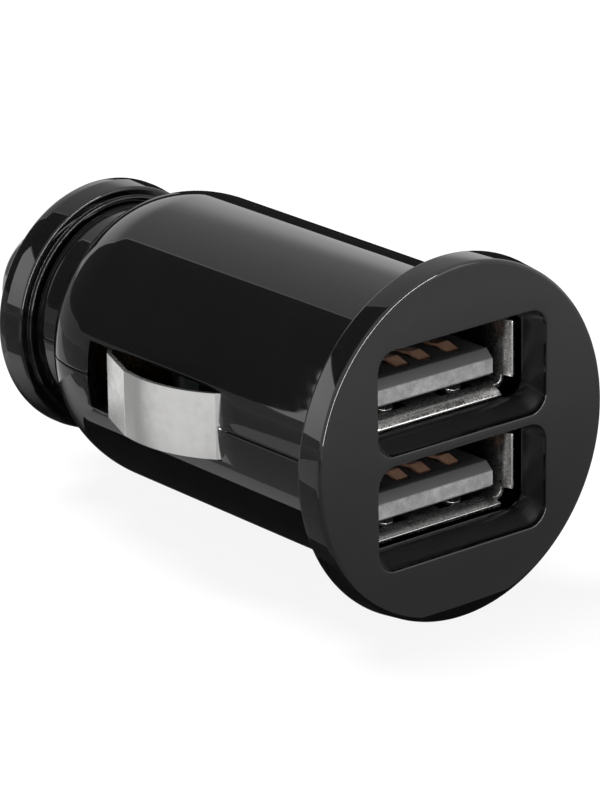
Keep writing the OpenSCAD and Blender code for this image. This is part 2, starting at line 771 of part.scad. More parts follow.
module regulator_chip() {
    color("#202124") translate([0, board_rear_y + 6, main_board_low_z]) rotate([180, 0, 0])
        chip([4.9, 3.9], 1.5, 4, 1.27);
}

module rectifier_diode() {
    color("#202124") translate([contact_x[3] + 0.5, board_rear_y, 0.5]) rotate([-90, 0, 0])
        chip([2.6, 2.4], 2, 1, 1);
}

module charge_chip() {
    color("#202124") translate([0, board_rear_y, 1]) rotate([-90, 0, 0])
        chip([2.9, 1.6], 1, 3, 0.95);
}

module resettable_fuse() {
    color("#7a4b2a") translate([part_gap + 1.65 - main_board_half, fuse_y, main_board_z]) {
        box([-1.6, 1.6], [-1.25, 1.25], [0, 0.8]);
        for (x = [-1.65, 1.25]) box([x, x + 0.4], [-1.3, 1.3], [0, 0.85]);
    }
}

module chip_capacitors() {
    color("#a58a63") for (x = [-1, 1], y = [3.4, 6.6])
        translate([x * (main_board_half - 1.5), board_rear_y + y, main_board_low_z - 0.8])
            box([-0.6, 0.6], [-1, 1], [0, 0.8]);
}

bezel();
upper_shell();
lower_shell();
nose_ring();
tip_contact();
tip_spring();
tip_terminal();
ground_spring_left();
ground_spring_right();
ground_strap_left();
ground_strap_right();
usb_shell_upper();
usb_shell_lower();
usb_housing_upper();
usb_housing_lower();
contact_upper_power();
contact_upper_minus();
contact_upper_plus();
contact_upper_ground();
contact_lower_power();
contact_lower_minus();
contact_lower_plus();
contact_lower_ground();
port_board();
main_board();
board_header();
inductor_core();
inductor_coil();
input_capacitor();
output_capacitor();
regulator_chip();
charge_chip();
rectifier_diode();
resettable_fuse();
chip_capacitors();
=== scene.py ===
import math

import bmesh
import bpy
from mathutils import Matrix, Vector


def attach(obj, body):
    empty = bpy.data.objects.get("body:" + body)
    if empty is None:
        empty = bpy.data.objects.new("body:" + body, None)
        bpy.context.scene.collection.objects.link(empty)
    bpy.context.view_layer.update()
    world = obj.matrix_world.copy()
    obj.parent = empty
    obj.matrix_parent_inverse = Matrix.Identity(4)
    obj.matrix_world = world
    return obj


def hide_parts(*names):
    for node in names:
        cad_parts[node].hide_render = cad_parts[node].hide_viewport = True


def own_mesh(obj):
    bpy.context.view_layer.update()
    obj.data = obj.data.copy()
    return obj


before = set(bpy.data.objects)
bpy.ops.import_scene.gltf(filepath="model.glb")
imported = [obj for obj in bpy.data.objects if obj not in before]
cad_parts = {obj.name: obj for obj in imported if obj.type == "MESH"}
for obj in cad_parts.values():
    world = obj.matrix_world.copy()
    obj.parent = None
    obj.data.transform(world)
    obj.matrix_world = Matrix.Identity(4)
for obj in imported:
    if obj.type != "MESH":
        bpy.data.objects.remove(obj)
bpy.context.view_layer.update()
mm = 0.001


# outlines and meshes, all in millimetres until a piece is made

def filletLine(points, radii, steps):
    line = []  # a polyline with a round of its own radius at each corner
    for i, p in enumerate(points):
        r = radii[i] if i < len(radii) else 0
        if i in (0, len(points) - 1) or r <= 0:
            line.append(Vector(p))
            continue
        here, before, after = Vector(p), Vector(points[i - 1]), Vector(points[i + 1])
        a, b = (before - here).normalized(), (after - here).normalized()
        angle = a.angle(b)
        longest = 0.49 * min((before - here).length, (after - here).length)  # under half of either side
        reach = min(r / math.tan(angle / 2), longest)
        r = reach * math.tan(angle / 2)
        centre = here + (a + b).normalized() * (r / math.sin(angle / 2))
        start, stop = here + a * reach - centre, here + b * reach - centre
        turn = math.atan2(start.x * stop.y - start.y * stop.x, start.dot(stop))
        for k in range(steps + 1):
            t = turn * k / steps
            line.append(centre + Vector((start.x * math.cos(t) - start.y * math.sin(t),
                                         start.x * math.sin(t) + start.y * math.cos(t))))
    return line


def roundedLoop(width, height, radius, centreZ, steps=10, straight=6):
    loop = []  # points (x, z) round a rounded rectangle, the same count for every size
    corners = ((1, 1, 0), (-1, 1, 90), (-1, -1, 180), (1, -1, 270))
    halfW, halfH = width / 2 - radius, height / 2 - radius
    for n, (sx, sz, start) in enumerate(corners):
        cx, cz = sx * halfW, sz * halfH
        for k in range(steps + 1):
            a = math.radians(start + 90 * k / steps)
            loop.append((cx + radius * math.cos(a), cz + radius * math.sin(a)))
        nx, nz, nextStart = corners[(n + 1) % 4]
        a = math.radians(nextStart)
        end = (nx * halfW + radius * math.cos(a), nz * halfH + radius * math.sin(a))
        here = loop[-1]
        for k in range(1, straight):
            s = k / straight
            loop.append((here[0] + (end[0] - here[0]) * s, here[1] + (end[1] - here[1]) * s))
    return [(x, z + centreZ) for x, z in loop]


def addRing(bm, points):
    return [bm.verts.new(p) for p in points]


def bridge(bm, a, b):
    for i in range(len(a)):
        j = (i + 1) % len(a)
        bm.faces.new((a[i], a[j], b[j], b[i]))


def fillFlat(bm, loops):
    edges = []
    for loop in loops:
        for pair in zip(loop, loop[1:] + loop[:1]):
            edges.append(bm.edges.get(pair) or bm.edges.new(pair))
    bmesh.ops.triangle_fill(bm, use_beauty=True, edges=edges)


def spin(bm, line, steps, closed=False):
    rings = []  # a line of (radius, y) turned about the part's axis
    angles = [2 * math.pi * i / steps for i in range(steps)]
    for r, y in line:
        if r < 1e-6:
            rings.append(addRing(bm, [(0, y, 0)]))
        else:
            rings.append(addRing(bm, [(r * math.cos(a), y, r * math.sin(a)) for a in angles]))
    pairs = list(zip(rings, rings[1:])) + ([(rings[-1], rings[0])] if closed else [])
    for a, b in pairs:
        if len(a) == 1 or len(b) == 1:
            tip, ring = (a[0], b) if len(a) == 1 else (b[0], a)
            for i in range(steps):
                bm.faces.new((tip, ring[i], ring[(i + 1) % steps]))
        else:
            bridge(bm, a, b)
    return rings


def lineNormals(line):
    normals = []
    for i in range(len(line)):
        a = line[i] - line[i - 1] if i else line[1] - line[0]
        b = line[i + 1] - line[i] if i < len(line) - 1 else a
        d = (a.normalized() + b.normalized()).normalized()
        normals.append(Vector((-d.y, d.x)))
    return normals


def sweepStrip(bm, line, normals, halves, sheet, toPoint, steps):
    rows = []  # a strip of sheet along a line, as wide at each point as halves says
    if not isinstance(halves, list):
        halves = [halves] * len(line)
    for p, n, half in zip(line, normals, halves):
        outer, inner = p + n * sheet / 2, p - n * sheet / 2
        around = [(outer, -half + 2 * half * k / steps) for k in range(steps + 1)]
        around += [(inner, half - 2 * half * k / steps) for k in range(steps + 1)]
        rows.append(addRing(bm, [toPoint(q, s) for q, s in around]))
    closeRows(bm, rows)


def closeRows(bm, rows):
    for a, b in zip(rows, rows[1:]):
        bridge(bm, a, b)
    bm.faces.new(rows[0])
    bm.faces.new(rows[-1])


def makePiece(name, bm, body, material, nodes, bevel=0, smoothAngle=35, sharpAngle=None):
    bmesh.ops.recalc_face_normals(bm, faces=bm.faces)
    bmesh.ops.scale(bm, vec=(mm, mm, mm), verts=bm.verts)
    mesh = bpy.data.meshes.new(name)
    bm.to_mesh(mesh)
    bm.free()
    piece = bpy.data.objects.new(name, mesh)
    bpy.context.scene.collection.objects.link(piece)
    if bevel:
        edge = piece.modifiers.new("edges", "BEVEL")
        edge.width = bevel * mm
        edge.segments = 2
        edge.limit_method = "ANGLE"
        edge.angle_limit = math.radians(smoothAngle)
        edge.use_clamp_overlap = True
    for polygon in mesh.polygons:
        polygon.use_smooth = True
    if bevel:
        bpy.context.view_layer.update()
        evaluated = piece.evaluated_get(bpy.context.evaluated_depsgraph_get())
        mesh = bpy.data.meshes.new_from_object(evaluated)
        piece.modifiers.clear()
        piece.data = mesh
    mesh.set_sharp_from_angle(angle=math.radians(sharpAngle or smoothAngle))
    mesh.materials.append(material)
    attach(piece, body)
    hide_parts(*nodes)
    return piece


# shader node groups

def newGroup(name, inputs, outputs):
    group = bpy.data.node_groups.new(name, "ShaderNodeTree")
    for label, kind, value in inputs:
        socket = group.interface.new_socket(name=label, in_out="INPUT", socket_type=kind)
        socket.default_value = value
    for label, kind in outputs:
        group.interface.new_socket(name=label, in_out="OUTPUT", socket_type=kind)
    return group, group.nodes.new("NodeGroupInput"), group.nodes.new("NodeGroupOutput")


def addNode(tree, kind, links=(), **settings):
    node = tree.nodes.new(kind)
    for key, value in settings.items():
        if key.startswith("in_"):
            node.inputs[int(key[3:])].default_value = value
        else:
            setattr(node, key, value)
    for socket, source in links:
        tree.links.new(source, node.inputs[socket])
    return node


def objectAxes(tree):
    place = addNode(tree, "ShaderNodeTexCoord")
    return addNode(tree, "ShaderNodeSeparateXYZ", [(0, place.outputs["Object"])]).outputs


def mathNode(tree, operation, first, second):
    node = addNode(tree, "ShaderNodeMath", [(0, first)], operation=operation)
    if isinstance(second, float):
        node.inputs[1].default_value = second
    elif second is not None:
        tree.links.new(second, node.inputs[1])
    return node.outputs[0]


def noiseNode(tree, vector, scale, detail):
    node = addNode(tree, "ShaderNodeTexNoise", [("Vector", vector), ("Scale", scale)])
    node.inputs["Detail"].default_value = detail
    return node.outputs[0]


def smudgeGroup():
    group, source, sink = newGroup(
        "handlingSmudges",
        [("Scale", "NodeSocketFloat", 200.0), ("Low", "NodeSocketFloat", 0.05),
         ("High", "NodeSocketFloat", 0.12)],
        [("Roughness", "NodeSocketFloat"), ("Mask", "NodeSocketFloat")])
    place = addNode(group, "ShaderNodeTexCoord").outputs["Object"]
    cloud = noiseNode(group, place, source.outputs["Scale"], 5)
    specks = noiseNode(group, place, mathNode(group, "MULTIPLY", source.outputs["Scale"], 9.0), 2)
    both = mathNode(group, "MULTIPLY", cloud, specks)
    low, high = 0.14, 0.42  # the span that the product of both noises fills
    spread = addNode(group, "ShaderNodeMapRange", [(0, both), ("To Min", source.outputs["Low"]),
                                                   ("To Max", source.outputs["High"])], in_1=low, in_2=high)
    mask = addNode(group, "ShaderNodeMapRange", [(0, both)], in_1=low, in_2=high)
    group.links.new(spread.outputs[0], sink.inputs["Roughness"])
    group.links.new(mask.outputs[0], sink.inputs["Mask"])
    return group


def grainGroup():
    group, source, sink = newGroup(
        "mouldGrain",
        [("Scale", "NodeSocketFloat", 1500.0), ("Stretch", "NodeSocketFloat", 1.0)],
        [("Height", "NodeSocketFloat"), ("Mask", "NodeSocketFloat")])
    x, y, z = objectAxes(group)
    longer = mathNode(group, "DIVIDE", y, source.outputs["Stretch"])
    joined = addNode(group, "ShaderNodeCombineXYZ", [(0, x), (1, longer), (2, z)])
    height = noiseNode(group, joined.outputs[0], source.outputs["Scale"], 3)
    mask = addNode(group, "ShaderNodeMapRange", [(0, height)], in_1=0.38, in_2=0.62)
    group.links.new(height, sink.inputs["Height"])
    group.links.new(mask.outputs[0], sink.inputs["Mask"])
    return group


# a box mask in the piece's own frame, used for painted shade and for a matte recess finish
def paintedShadeAndMatteBoxGroup():
    group, source, sink = newGroup(
        "insideMask",
        [("Half X", "NodeSocketFloat", 0.008), ("Half Z", "NodeSocketFloat", 0.009),
         ("From Y", "NodeSocketFloat", -0.002), ("Full Y", "NodeSocketFloat", 0.0),
         ("Until Y", "NodeSocketFloat", 0.05)],
        [("Mask", "NodeSocketFloat")])
    x, y, z = objectAxes(group)
    limits = [(1, source.outputs["From Y"]), (2, source.outputs["Full Y"])]
    deep = addNode(group, "ShaderNodeMapRange", [(0, y), *limits])
    product = deep.outputs[0]
    for axis, limit in ((x, "Half X"), (z, "Half Z")):
        within = mathNode(group, "LESS_THAN", mathNode(group, "ABSOLUTE", axis, None), source.outputs[limit])
        product = mathNode(group, "MULTIPLY", product, within)
    product = mathNode(group, "MULTIPLY", product,
                       mathNode(group, "LESS_THAN", y, source.outputs["Until Y"]))
    group.links.new(product, sink.inputs["Mask"])
    return group


smudges = smudgeGroup()
grain = grainGroup()
inside = paintedShadeAndMatteBoxGroup()


def placeGroup(tree, group, **values):
    node = tree.nodes.new("ShaderNodeGroup")
    node.node_tree = group
    for key, value in values.items():
        node.inputs[key].default_value = value
    return node


def makeMaterial(name, look):
    material = bpy.data.materials.new(name)
    material.use_nodes = True
    tree = material.node_tree
    shader = tree.nodes["Principled BSDF"]
    shader.inputs["Metallic"].default_value = look.get("metallic", 0.0)
    shader.inputs["IOR"].default_value = 1.5
    smudge = placeGroup(tree, smudges, Scale=look["smudgeScale"], Low=look["rough"][0],
                        High=look["rough"][1])
    texture = placeGroup(tree, grain, Scale=look["grainScale"], Stretch=look.get("stretch", 1.0))
    chosen = texture if look.get("byGrain") else smudge
    mix = addNode(tree, "ShaderNodeMix", [("Factor", chosen.outputs["Mask"])], data_type="RGBA")
    mix.inputs[6].default_value = (*look["colour"], 1)
    mix.inputs[7].default_value = (*look["second"], 1)
    colour, rough = mix.outputs[2], smudge.outputs["Roughness"]
    if "inside" in look:  # within a box of the piece another colour and roughness: painted shade where parts lie deep inside, and a duller matte finish in the moulded port recesses
        box = zip(("Half X", "Half Z", "From Y", "Full Y", "Until Y"), look["inside"]["box"])
        mask = placeGroup(tree, inside, **{label: v * mm for label, v in box}).outputs["Mask"]
        shade = addNode(tree, "ShaderNodeMix", [("Factor", mask), (6, colour)], data_type="RGBA")
        shade.inputs[7].default_value = (*look["inside"]["colour"], 1)
        blend = addNode(tree, "ShaderNodeMix", [("Factor", mask), (2, rough)], data_type="FLOAT")
        blend.inputs[3].default_value = look["inside"]["rough"]
        colour, rough = shade.outputs[2], blend.outputs[0]
    tree.links.new(colour, shader.inputs["Base Color"])
    tree.links.new(rough, shader.inputs["Roughness"])
    bump = addNode(tree, "ShaderNodeBump", [("Height", texture.outputs["Height"])])
    bump.inputs["Strength"].default_value = look["bump"]
    bump.inputs["Distance"].default_value = look.get("bumpDepth", 0.00002)
    tree.links.new(bump.outputs["Normal"], shader.inputs["Normal"])
    return material


# an inside box gives half its width and height, then along y where it begins, is full and ends; within it the
# tip, receptacles and tongues take painted shade and the gloss black a matte recess finish
looks = {
    "glossBlack": {"colour": (0.0024, 0.0024, 0.0025), "second": (0.0034, 0.0034, 0.0036),
                   "rough": (0.015, 0.045), "smudgeScale": 160, "grainScale": 900, "bump": 0.02,
                   "bumpDepth": 0.00001,
                   "inside": {"box": (7.6, 8.3, -1.95, -1.8, 0.05), "colour": (0.006, 0.006, 0.0063),
                              "rough": 0.24}},
    "satinNickel": {"colour": (0.76, 0.755, 0.745), "second": (0.7, 0.695, 0.685), "rough": (0.22, 0.29),
                    "metallic": 1.0, "smudgeScale": 150, "grainScale": 5200, "stretch": 7.0, "bump": 0.05,
                    "bumpDepth": 0.000006},
    "polishedNickel": {"colour": (0.74, 0.735, 0.72), "second": (0.68, 0.675, 0.66), "rough": (0.08, 0.18),
                       "metallic": 1.0, "smudgeScale": 400, "grainScale": 3000, "bump": 0.06,
                       "bumpDepth": 0.000006,
                       # painted shade: the tip's part inside the nose ring and housing, up to y 37.2, is near
                       # black
                       "inside": {"box": (9, 9, 30, 31, 37.2), "colour": (0.03, 0.03, 0.029), "rough": 0.45}},
    "tinPlate": {"colour": (0.7, 0.69, 0.68), "second": (0.48, 0.475, 0.465), "rough": (0.16, 0.4),
                 "metallic": 1.0, "smudgeScale": 700, "grainScale": 3200, "bump": 0.3, "bumpDepth": 0.00002,
                 # painted shade: deeper than about 1 to 3 mm inside the receptacle the tin turns dark, while
                 # the flared lips stay bright
                 "inside": {"box": (7.6, 9, 0.85, 3.2, 60), "colour": (0.06, 0.059, 0.057), "rough": 0.3}},
    "tongueBlack": {"colour": (0.115, 0.115, 0.117), "second": (0.25, 0.25, 0.25), "rough": (0.45, 0.7),
                    "smudgeScale": 1500, "grainScale": 8500, "bump": 0.4, "bumpDepth": 0.00001,
                    # painted shade: behind the tongue's front face, its chamfer, top and block take a darker
                    # colour
                    "inside": {"box": (7, 9, 1.21, 1.27, 60), "colour": (0.055, 0.055, 0.056),
                               "rough": 0.6}},
    "copperLeaf": {"colour": (0.5, 0.29, 0.2), "second": (0.32, 0.18, 0.12), "rough": (0.3, 0.5),
                   "metallic": 0.5, "smudgeScale": 900, "grainScale": 4000, "bump": 0.06},
    "brassStrip": {"colour": (0.3, 0.23, 0.12), "second": (0.16, 0.12, 0.06), "rough": (0.22, 0.4),
                   "metallic": 1.0, "smudgeScale": 700, "grainScale": 4200, "stretch": 5.0, "bump": 0.12},
    "springWire": {"colour": (0.58, 0.58, 0.59), "second": (0.42, 0.42, 0.43), "rough": (0.18, 0.36),
                   "metallic": 1.0, "smudgeScale": 800, "grainScale": 5000, "bump": 0.15},
    "boardGreen": {"colour": (0.004, 0.016, 0.01), "second": (0.007, 0.026, 0.016), "rough": (0.25, 0.4),
                   "byGrain": True, "smudgeScale": 500, "grainScale": 700, "bump": 0.2},
    "insulatorBlack": {"colour": (0.018, 0.018, 0.02), "second": (0.035, 0.035, 0.038), "rough": (0.4, 0.6),
                       "smudgeScale": 700, "grainScale": 3500, "bump": 0.3},
    "ferriteGrey": {"colour": (0.035, 0.035, 0.04), "second": (0.08, 0.08, 0.085), "rough": (0.5, 0.75),
                    "byGrain": True, "smudgeScale": 800, "grainScale": 3000, "bump": 0.5},
    "windingCopper": {"colour": (0.5, 0.17, 0.05), "second": (0.32, 0.09, 0.03), "rough": (0.25, 0.4),
                      "metallic": 1.0, "smudgeScale": 900, "grainScale": 2500, "bump": 0.3},
    "canSleeve": {"colour": (0.008, 0.009, 0.014), "second": (0.014, 0.016, 0.024), "rough": (0.25, 0.4),
                  "smudgeScale": 500, "grainScale": 1500, "bump": 0.15},
    "chipEpoxy": {"colour": (0.016, 0.016, 0.018), "second": (0.04, 0.04, 0.042), "rough": (0.5, 0.7),
                  "byGrain": True, "smudgeScale": 900, "grainScale": 5200, "bump": 0.4},
}
materials = {name: makeMaterial(name, look) for name, look in looks.items()}
print("materials made:", len(materials))

# finishes of the solids themselves; the contact blades aren't listed and get copper
cadFinishes = {
    "bezel": "glossBlack", "nose_ring": "glossBlack",
    "upper_shell": "glossBlack", "lower_shell": "glossBlack",
    "tip_contact": "satinNickel", "tip_spring": "springWire", "tip_terminal": "brassStrip",
    "ground_spring_left": "satinNickel", "ground_spring_right": "satinNickel",
    "ground_strap_left": "brassStrip", "ground_strap_right": "brassStrip",
    "usb_shell_upper": "tinPlate", "usb_shell_lower": "tinPlate",
    "usb_housing_upper": "tongueBlack", "usb_housing_lower": "tongueBlack",
    "port_board": "boardGreen", "main_board": "boardGreen", "board_header": "insulatorBlack",
    "inductor_core": "ferriteGrey", "inductor_coil": "windingCopper", "input_capacitor": "canSleeve",
    "output_capacitor": "canSleeve", "regulator_chip": "chipEpoxy", "charge_chip": "chipEpoxy",
    "rectifier_diode": "chipEpoxy", "resettable_fuse": "chipEpoxy", "chip_capacitors": "ferriteGrey",
}
for nodeName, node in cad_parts.items():
    finish = materials[cadFinishes.get(nodeName, "copperLeaf")]
    node.data.materials.clear()
    node.data.materials.append(finish)


# the two half shells

shell = {"barrelRadius": 10.45, "draftedRadius": 10.4, "locatingLength": 9.0, "shoulderStart": 26.5,
         "neckStart": 31.5, "neckRadius": 8.0, "neckEnd": 34.45, "wall": 0.85, "seamHalf": 0.05,
         "seamInside": 0.002, "slotFrom": {1: 10.75, -1: 10.93}, "slotTo": 25.4, "slotHalf": 2.45,
         "edge": 0.07, "frontRound": 0.35, "frontY": 0.08, "foot": 0.22}


def shellOutline(side):
    line = [(shell["barrelRadius"], y) for y in (0.02, 0.5, 1.5, 3, 4.5, 6, 7.5, 9.0)]
    if side < 0:  # the lower half ends in a small round that catches light at the flange
        r = shell["frontRound"]
        line[0:2] = [(shell["barrelRadius"] - r * (1 - math.sin(a)), shell["frontY"] + r * (1 - math.cos(a)))
                     for a in (math.pi / 2 * k / 6 for k in range(7))]
    span = shell["shoulderStart"] - shell["locatingLength"]
    drop = shell["barrelRadius"] - shell["draftedRadius"]
    for y in (shell["slotFrom"][side], 12.5, 14.5, 16.5, 18.5, 20.5, 22.5, 24.2, shell["slotTo"], 26.0):
        line.append((shell["barrelRadius"] - drop * (y - shell["locatingLength"]) / span, y))
    deep = shell["draftedRadius"] - shell["neckRadius"]
    long = shell["neckStart"] - shell["shoulderStart"]
    for k in range(31):
        a = math.pi / 2 * k / 31
        line.append((shell["neckRadius"] + deep * math.cos(a), shell["shoulderStart"] + long * math.sin(a)))
    foot = shell["foot"]  # small round where the shoulder meets the neck
    line.append((shell["neckRadius"] + foot * 0.4, shell["neckStart"] - foot * 0.12))
    line.append((shell["neckRadius"] + foot * 0.08, shell["neckStart"] + foot * 0.3))
    for y in (0.45, 1.1, 1.9, shell["neckEnd"] - shell["neckStart"]):
        line.append((shell["neckRadius"], shell["neckStart"] + y))
    return line


def shellInside(line):
    inside = []
    for i, (r, y) in enumerate(line):
        if y <= shell["locatingLength"]:
            inside.append((shell["barrelRadius"] - shell["wall"], y))
            continue
        before, after = line[i - 1], line[min(i + 1, len(line) - 1)]
        along = Vector((after[0] - before[0], after[1] - before[1])).normalized()
        inside.append((r - shell["wall"] * along.y, y + shell["wall"] * along.x))
    return inside


def halfShell(side, name, node):
    line = shellOutline(side)
    radius = shell["barrelRadius"]
    seam = math.degrees(math.asin(shell["seamHalf"] / radius))
    slotAngle = math.degrees(math.asin(shell["slotHalf"] / radius))
    near = [seam, seam + 0.8, 3, 6, 9, slotAngle - 0.8, slotAngle]
    angles = near + [slotAngle + (180 - 2 * slotAngle) * k / 100 for k in range(1, 100)]
    angles += [180 - a for a in reversed(near)]
    bm = bmesh.new()
    turns = [(math.cos(math.radians(a)), math.sin(math.radians(a))) for a in angles]
    grid = [[bm.verts.new((r * c, y, side * r * s)) for c, s in turns] for r, y in line]
    for i in range(len(line) - 1):
        middle = (line[i][1] + line[i + 1][1]) / 2
        inSlot = shell["slotFrom"][side] < middle < shell["slotTo"]
        for j in range(len(angles) - 1):
            a = (angles[j] + angles[j + 1]) / 2
            if inSlot and (a < slotAngle or a > 180 - slotAngle):
                continue
            face = (grid[i][j], grid[i + 1][j], grid[i + 1][j + 1], grid[i][j + 1])
            bm.faces.new(face if side < 0 else face[::-1])
    loose = [v for v in bm.verts if not v.link_faces]
    inner = {}
    close = 0.02  # how far from an edge's nominal place its points may lie
    slotFrom, slotTo = shell["slotFrom"][side] - close, shell["slotTo"] + close
    for row, (r, y) in zip(grid, shellInside(line)):
        for v, (c, s) in zip(row, turns):
            x, z = r * c, r * s
            if abs(abs(v.co.z) - shell["seamHalf"]) < close:
                z = shell["seamInside"]  # the parting gap closes towards the inside
            if slotFrom < v.co.y < slotTo and abs(abs(v.co.z) - shell["slotHalf"]) < close:
                z = abs(v.co.z)  # the slot's flanks are parallel
                x = math.copysign((r * r - z * z) ** 0.5, x)
            inner[v] = (x, y, side * z)
    outerFaces, rims = list(bm.faces), [e for e in bm.edges if len(e.link_faces) == 1]
    bmesh.ops.delete(bm, geom=loose, context="VERTS")
    inner = {v: bm.verts.new(co) for v, co in inner.items() if v.is_valid}
    for face in outerFaces:
        bm.faces.new([inner[v] for v in reversed(face.verts)])
    for rim in rims:
        a, b = rim.verts
        bm.faces.new((a, b, inner[b], inner[a]))
    makePiece(name, bm, "housing", materials["glossBlack"], (node,), bevel=shell["edge"],
              smoothAngle=40)


halfShell(1, "upperHalfShell", "upper_shell")
halfShell(-1, "lowerHalfShell", "lower_shell")
print("half shells made")


# flange with its two port recesses

flange = {"faceY": -2.15, "faceRadius": 12.1, "rimRear": 12.65, "rearRound": 0.3, "faceRound": 0.38,
          "rearRadius": 11.6, "innerRadius": 10.5, "mouth": (14.77, 7.36, 1.4), "deep": (14.05, 6.12, 1.07),
          "taperDepth": 1.7, "deepShift": 0.26, "mouthRound": 0.14, "portCentres": (4.165, -3.905)}


def makeFlange():
    bm = bmesh.new()
    f = flange
    front = []
    for k in range(11):
        a = math.radians(90 * k / 10)
        r = f["faceRadius"] + f["faceRound"] * math.sin(a)
        front.append((r, f["faceY"] + f["faceRound"] * (1 - math.cos(a))))
    rear = []
    for k in range(9):
        a = math.radians(90 * k / 8)
        rear.append((f["rimRear"] - f["rearRound"] * (1 - math.cos(a)), -f["rearRound"] * (1 - math.sin(a))))
    rings = spin(bm, front + rear + [(f["rearRadius"], 0), (f["innerRadius"], 0)], 240)
    mouths, backs = [], []
    for centre in f["portCentres"]:
        w, h, r = f["mouth"]
        dw, dh, dr = f["deep"]
        loops = []
        for k in range(7):
            a = math.radians(90 * k / 6)
            grow = f["mouthRound"] * (1 - math.sin(a))
            y = f["faceY"] + f["mouthRound"] * (1 - math.cos(a))
            loops.append((roundedLoop(w + 2 * grow, h + 2 * grow, r + grow, centre), y))
        for k in range(1, 5):
            s = k / 4
            y = f["faceY"] + f["mouthRound"] + (f["taperDepth"] - f["mouthRound"]) * s
            loops.append((roundedLoop(w + (dw - w) * s, h + (dh - h) * s, r + (dr - r) * s,
                                      centre + f["deepShift"] * s), y))
        loops.append((roundedLoop(dw, dh, dr, centre + f["deepShift"]), 0.0))
        rows = [addRing(bm, [(x, y, z) for x, z in loop]) for loop, y in loops]
        for a, b in zip(rows, rows[1:]):
            bridge(bm, a, b)
        mouths.append(rows[0])
        backs.append(rows[-1])
    fillFlat(bm, [rings[0], *mouths])
    fillFlat(bm, [rings[-1], *backs])
    makePiece("flangeBezel", bm, "housing", materials["glossBlack"], ("bezel",),
              smoothAngle=30)


makeFlange()
print("flange made")


# nose ring

ring = {"rear": 35.0, "front": 37.6, "seat": 36.7, "radius": 9.2, "rearRadius": 9.0, "hole": 4.55,
        "step": 0.3, "stepRadius": 8.35, "neckHole": 7.5, "neckDepth": 1.6, "taperLength": 1.0,
        "rounds": (0, 0.05, 0.12, 0.06, 0.25, 0.8, 0.95, 0.35, 0, 0)}


def makeRing():
    r = ring
    collar = r["rear"] - r["step"]
    corners = [(r["neckHole"], r["rear"] + r["neckDepth"]), (r["neckHole"], collar),
               (r["stepRadius"], collar), (r["stepRadius"] + 0.05, r["rear"]), (r["rearRadius"], r["rear"]),
               (r["radius"], r["front"] - r["taperLength"]), (r["radius"], r["front"]),
               (r["hole"], r["front"]), (r["hole"], r["seat"]), (r["neckHole"], r["seat"])]
    line = filletLine(corners, r["rounds"], 8)
    bm = bmesh.new()
    spin(bm, [tuple(p) for p in line], 200, closed=True)
    makePiece("noseRing", bm, "housing", materials["glossBlack"], ("nose_ring",),
              smoothAngle=40)


makeRing()


# sprung tip contact and its coil

tip = {"radius": 4.45, "end": 44.75, "dome": 1.5, "wall": 0.75, "flangeRadius": 6.3, "flangeY": 35.5,
       "flangeThick": 1.15, "boreRound": (3.1, 1.2), "springRadius": 3.1, "wire": 0.5, "wireSlack": 0.96,
       "springFrom": 32.4, "springTo": 43.6, "turns": 5, "travel": 2.0}


def makeTip():
    t = tip
    bore, shoulder = t["radius"] - t["wall"], t["flangeY"] + t["flangeThick"]
    line = [(bore, t["flangeY"]), (t["flangeRadius"], t["flangeY"]), (t["flangeRadius"], shoulder),
            (t["radius"], shoulder)]
    line = [tuple(p) for p in filletLine(line, [0, 0.1, 0.1, 0], 3)]
    for k in range(33):
        a = math.pi / 2 * k / 32
        r = t["radius"] * math.cos(a) if k < 32 else 0.0
        line.append((r, t["end"] - t["dome"] + t["dome"] * math.sin(a)))
    roundRadius, roundDrop = t["boreRound"]
    inner = [(0.0, t["springTo"]), (roundRadius, t["springTo"]), (bore, t["springTo"] - roundDrop)]
    bm = bmesh.new()
    outerRings = spin(bm, line, 120)
    innerRings = spin(bm, inner, 120)
    bridge(bm, innerRings[-1], outerRings[0])
    makePiece("tipPlunger", bm, "tip", materials["polishedNickel"], ("tip_contact",),
              smoothAngle=40)


def makeCoil():
    t = tip
    total = t["turns"] + 2
    perTurn, sides = 40, 12
    free = t["springTo"] - t["springFrom"] - 3 * t["wire"]
    bm = bmesh.new()
    rows = []
    for i in range(total * perTurn + 1):
        turn = i / perTurn
        if turn < 1:
            y = turn * t["wire"]
        elif turn > total - 1:
            y = t["wire"] + free + (turn - total + 1) * t["wire"]
        else:
            y = t["wire"] + free * (turn - 1) / t["turns"]
        y += t["springFrom"] + t["wire"] / 2
        a = 2 * math.pi * turn
        row = []
        for j in range(sides):
            b = 2 * math.pi * j / sides
            r = t["springRadius"] + t["wireSlack"] * t["wire"] / 2 * math.cos(b)
            row.append((r * math.cos(a), y + t["wireSlack"] * t["wire"] / 2 * math.sin(b), r * math.sin(a)))
        rows.append(addRing(bm, row))
    closeRows(bm, rows)
    coil = makePiece("tipCoil", bm, "housing", materials["springWire"], ("tip_spring",),
                     smoothAngle=60)
    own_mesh(coil)


makeTip()
makeCoil()
print("nose made")


# ground springs: one bent strip on each side

leaf = {"width": 4.7, "thick": 0.3, "archRadius": 9.25, "archY": 16.9, "archX": 2.9, "from": -32.74,
        "to": 6.0, "footX": 8.9, "footY": 8.3, "riserY": 11.1, "bend": 0.3, "ledgeX": 9.95,
        "lip": (10.28, 0.25), "footRounds": (0, 0.3, 0.2, 0.3, 0), "edge": 0.05,
        "tail": ((0, 0), (-0.115, 1.095), (-1.54, 4.8), (-2.0, 5.3), (-2.2, 5.4)),
        "tailRounds": (0, 0.3, 0.4, 0.1, 0)}


